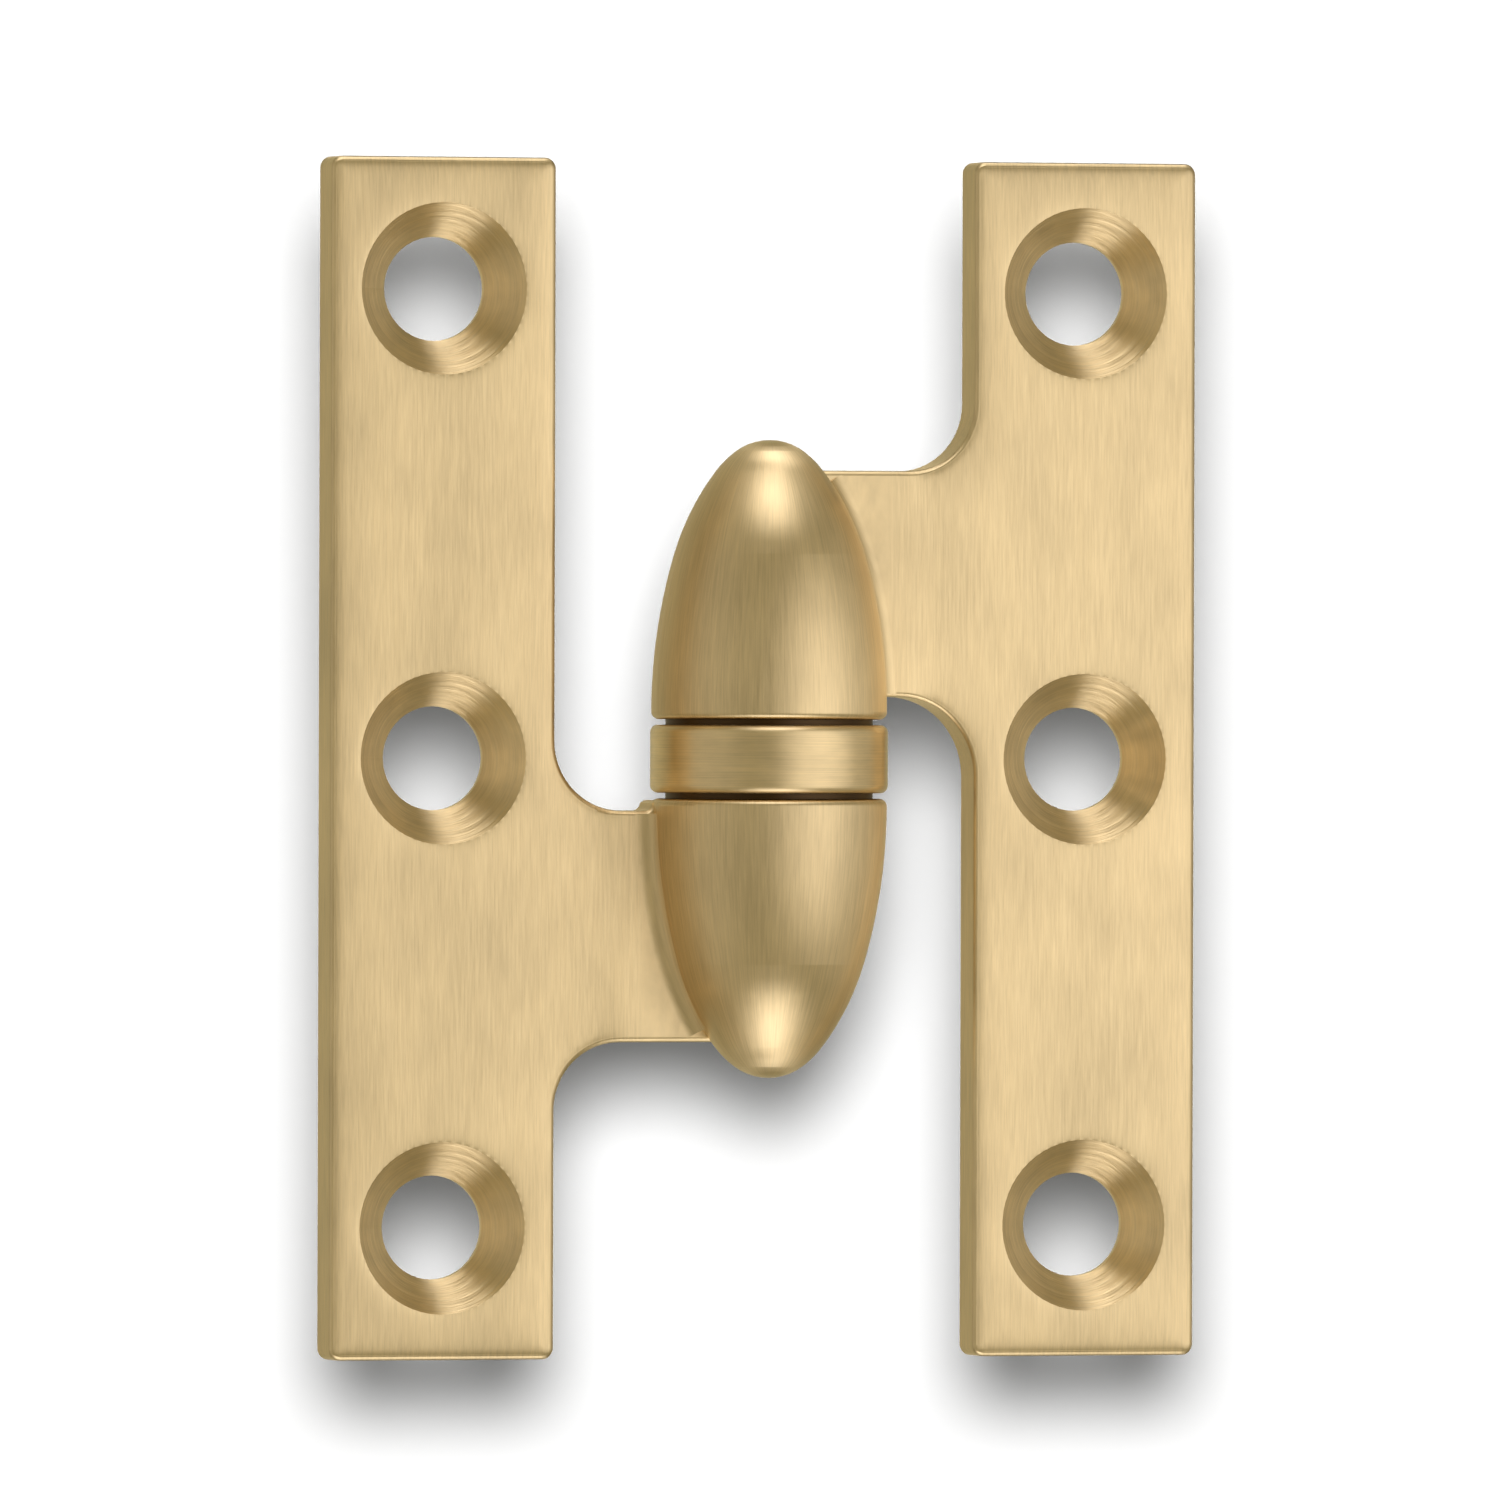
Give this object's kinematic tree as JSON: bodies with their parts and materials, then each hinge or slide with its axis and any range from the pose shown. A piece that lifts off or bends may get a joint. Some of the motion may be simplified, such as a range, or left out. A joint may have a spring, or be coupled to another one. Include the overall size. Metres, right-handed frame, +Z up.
{
  "type": "paumelle hinge",
  "caption": "Solid brass paumelle hinge: a flat leaf for the frame and one for the door, olive-shaped knuckles, a bearing ring between them and a lift-off pin.",
  "frame": {"origin": "on the pin's axis, halfway up the hinge, which is the middle of its box when it is opened flat", "axes": "+Z up along the pin, +X to the right across the door leaf, +Y away from the viewer; the leaves' countersunk faces look towards -Y"},
  "size_m": [0.048, 0.0126, 0.0636],
  "materials": {
    "leaf_brass": "satin, brushed along the pin",
    "ring_brass": "satin, turned",
    "pin_steel": "ground"
  },
  "bodies": {
    "jamb": {"jamb_leaf": "leaf_brass", "pin": "pin_steel"},
    "ring": {"bearing_ring": "ring_brass"},
    "door": {"door_leaf": "leaf_brass"}
  },
  "joints": [
    {"name": "leaf_swing", "type": "hinge", "parent": "jamb", "child": "ring", "pos_m": [0, 0, 0], "axis": [0, 0, -1], "range_deg": [-150, 180]},
    {"name": "lift_off", "type": "slide", "parent": "ring", "child": "door", "axis": [0, 0, 1], "range_m": [0, 0.0125]}
  ]
}
